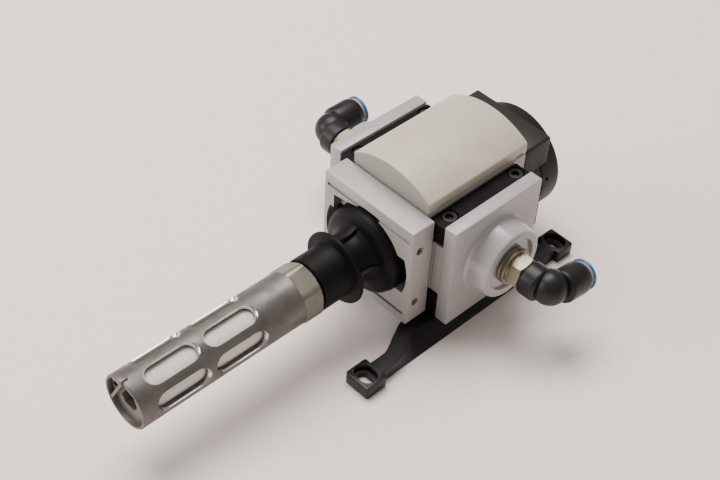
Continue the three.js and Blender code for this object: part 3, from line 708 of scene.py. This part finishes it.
def build_elbow(side, name):
    """A collar on the fitting, a ball at the corner and a sleeve that holds the tube socket."""
    elbow = turned("x", [(0, 67.1), (8.3, 67.1), (8.9, 67.35), (9.25, 67.9), (9.3, 68.8),
                         (9.3, 74.6), (9.2, 75.3), (8.9, 75.9), (8.3, 76.4), (7.4, 76.8),
                         (0, 76.8)], ON_PORT, 80)
    steps = 30
    ball = [(CORNER_RADIUS * math.sin(math.pi * i / steps) if i % steps else 0,
             -CORNER_RADIUS * math.cos(math.pi * i / steps)) for i in range(steps + 1)]
    corner = (ELBOW_X - CORNER_INSET, PORT_Y + CORNER_INSET, AXIS_Z)
    sleeve = turned("y", [(0, 54.4), (7.8, 54.4), (8.3, 54.6), (8.7, 55.1), (8.85, 55.9),
                          (8.85, 66.4), (8.7, 67.8), (8.3, 69.1), (7.9, 69.9), (7.5, 70.4),
                          (0, 70.4)], ON_TUBE, 80)
    fuse(elbow, turned("y", ball, corner, 56), sleeve)
    soften(elbow, 0.35, 3, 40)
    cut(elbow, rod("y", 7.2, 60.6, 71, ON_TUBE, 64))
    rotated(elbow, ELBOW_TURN[name], "X", ON_PORT)
    finished(elbow, f"elbow_{name}", f"elbow_{name}", MATERIALS["elbow"],
             [f"elbow_body_{name}"], 40, side)


def build_release_ring(side, name):
    ring = turned("y", [(6.15, 68.4), (6.9, 68.4), (6.9, 71.7), (8.1, 71.8), (8.35, 72.1),
                        (8.4, 72.5), (8.2, 73.0), (7.8, 73.3), (6.8, 73.3), (6.4, 73.1),
                        (6.15, 72.7)], ON_TUBE, 80)
    rotated(ring, ELBOW_TURN[name], "X", ON_PORT)
    finished(ring, f"push_ring_{name}", f"release_{name}", MATERIALS["blue"],
             [f"release_ring_{name}"], 40, side)
    seat = turned("y", [(6.92, 69.2), (7.15, 69.3), (7.15, 71.6), (7.6, 71.65), (7.6, 71.8),
                        (6.92, 71.8)], ON_TUBE, 72)
    rotated(seat, ELBOW_TURN[name], "X", ON_PORT)
    finished(seat, f"ring_seat_{name}", f"release_{name}",
             MATERIALS["pale_ring"], (), 30, side)


# ---------------------------------------------------------------- CAD nodes that show as they are
NODE_MATERIALS = {
    "valve_body": "housing", "valve_sleeve": "brass", "spool": "milled", "spindle": "steel",
    "drive_pin": "steel", "detent_ball": "steel", "detent_spring": "steel",
}


def finish_cad_nodes():
    for name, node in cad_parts.items():
        if node.hide_render:
            continue
        key = NODE_MATERIALS.get(name)
        if key is None:
            key = "rubber" if "seal" in name else "pin" if "pin" in name else "steel"
        node.data.materials.clear()
        node.data.materials.append(MATERIALS[key])


# ---------------------------------------------------------------- stage, light and camera
FLOOR_COLOR = (0.96, 0.86, 0.825)


def build_floor():
    bm = bmesh.new()
    size = 2.6
    corners = [(-size, -size, 0), (size, -size, 0), (size, size, 0), (-size, size, 0)]
    bm.faces.new([bm.verts.new(c) for c in corners])
    floor = temporary(bm, "floor")
    material = base_material("floor", FLOOR_COLOR, 0.6, Specular_IOR_Level=0.25)
    vary_colour(material, FLOOR_COLOR, 0.02, 400)
    roughen(material, 160, 0.25, 0.4, 5)
    floor.data.materials.append(material)


def area_light(name, place, aim, size, power, color):
    data = bpy.data.lights.new(name, "AREA")
    data.shape = "RECTANGLE"
    data.size, data.size_y = size
    data.energy = power
    data.color = color
    light = bpy.data.objects.new(name, data)
    light.location = place
    light.rotation_euler = (Vector(aim) - Vector(place)).to_track_quat("-Z", "Y").to_euler()
    bpy.context.scene.collection.objects.link(light)


def build_lights():
    world = bpy.data.worlds.new("studio")
    world.use_nodes = True
    background = world.node_tree.nodes["Background"]
    background.inputs["Color"].default_value = (1.0, 0.965, 0.93, 1)
    background.inputs["Strength"].default_value = 0.38
    bpy.context.scene.world = world
    area_light("ceiling", (-0.6, 0.2, 1.7), (0, 0, 0), (1.5, 1.0), 50, (1.0, 0.965, 0.935))
    area_light("window", (-1.0, -1.3, 0.8), (0, 0, 0.03), (0.9, 0.7), 19, (1.0, 0.975, 0.955))


CAMERA_PLACE = Vector((334.74, -350.07 + FRONT_Y, 520.87)) * MM
CAMERA_AZIMUTH = -0.76917
CAMERA_ELEVATION = 0.77356
CAMERA_ROLL = -0.05936
CAMERA_LENS = 68.06


def build_camera():
    az, el, roll = CAMERA_AZIMUTH, CAMERA_ELEVATION, CAMERA_ROLL
    right = Vector((math.cos(az), -math.sin(az), 0))
    forward = Vector((math.cos(el) * math.sin(az), math.cos(el) * math.cos(az), -math.sin(el)))
    down = forward.cross(right)
    x_axis = math.cos(roll) * right + math.sin(roll) * down
    y_axis = math.sin(roll) * right - math.cos(roll) * down
    data = bpy.data.cameras.new("camera")
    data.sensor_width = 36
    data.lens = CAMERA_LENS
    data.clip_start = 0.01
    camera = bpy.data.objects.new("camera", data)
    turn = Matrix((x_axis, y_axis, -forward)).transposed().to_4x4()
    camera.matrix_world = Matrix.Translation(CAMERA_PLACE) @ turn
    bpy.context.scene.collection.objects.link(camera)
    bpy.context.scene.camera = camera


# ---------------------------------------------------------------- everything
build_silencer()
build_adapter()
build_front_block()
build_cover()
build_knob_housing()
build_knob()
for SIDE, NAME in ((1, "right"), (-1, "left")):
    build_plate(SIDE, NAME)
    build_bars(SIDE, NAME)
    build_screws(SIDE, NAME)
    build_bracket(SIDE, NAME)
    build_fitting(SIDE, NAME)
    build_elbow(SIDE, NAME)
    build_release_ring(SIDE, NAME)
finish_cad_nodes()
build_floor()
build_lights()
build_camera()
